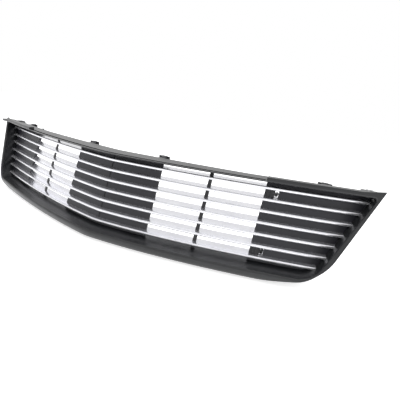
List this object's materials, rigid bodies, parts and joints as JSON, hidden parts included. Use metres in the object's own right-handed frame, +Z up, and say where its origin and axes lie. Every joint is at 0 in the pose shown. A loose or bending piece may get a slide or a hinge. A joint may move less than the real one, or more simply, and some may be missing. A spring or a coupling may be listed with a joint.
{
  "type": "front grille",
  "caption": "Wide, swept-back front grille: black moulded surround, bright horizontal slats, blanking panels, two open windows with posts, bolted by end ears and lower tabs.",
  "frame": {"origin": "midway between the two ear bolt holes, on the upper face of the ears", "axes": "+Z up as fitted, -Y the way the grille faces (forwards on the car), +X to the right of someone facing the grille"},
  "size_m": [1.0685, 0.2226, 0.185],
  "materials": {
    "surround_plastic": "fine grained black moulding",
    "panel_plastic": "satin black moulding",
    "post_plastic": "satin black moulding",
    "socket_plastic": "smooth black moulding",
    "slat_bright": "bright plated",
    "screw_steel": "zinc plated",
    "seal_foam": "black foam",
    "spring_steel": "dark phosphated spring steel"
  },
  "bodies": {
    "root": {"blanking_panel_centre_left": "panel_plastic", "blanking_panel_centre_right": "panel_plastic", "blanking_panel_left": "panel_plastic", "blanking_panel_right": "panel_plastic", "centre_seam_rib": "post_plastic", "ear_nuts": "spring_steel", "frame_screws": "screw_steel", "lower_badge_socket": "socket_plastic", "lower_nuts": "spring_steel", "slat_1": "slat_bright", "slat_2": "slat_bright", "slat_3": "slat_bright", "slat_4": "slat_bright", "slat_5": "slat_bright", "slat_6": "slat_bright", "slat_7": "slat_bright", "slat_screws": "screw_steel", "surround_frame": "surround_plastic", "top_clips": "spring_steel", "top_seal": "seal_foam", "upper_badge_socket": "socket_plastic", "window_post_left": "post_plastic", "window_post_right": "post_plastic"}
  },
  "joints": []
}
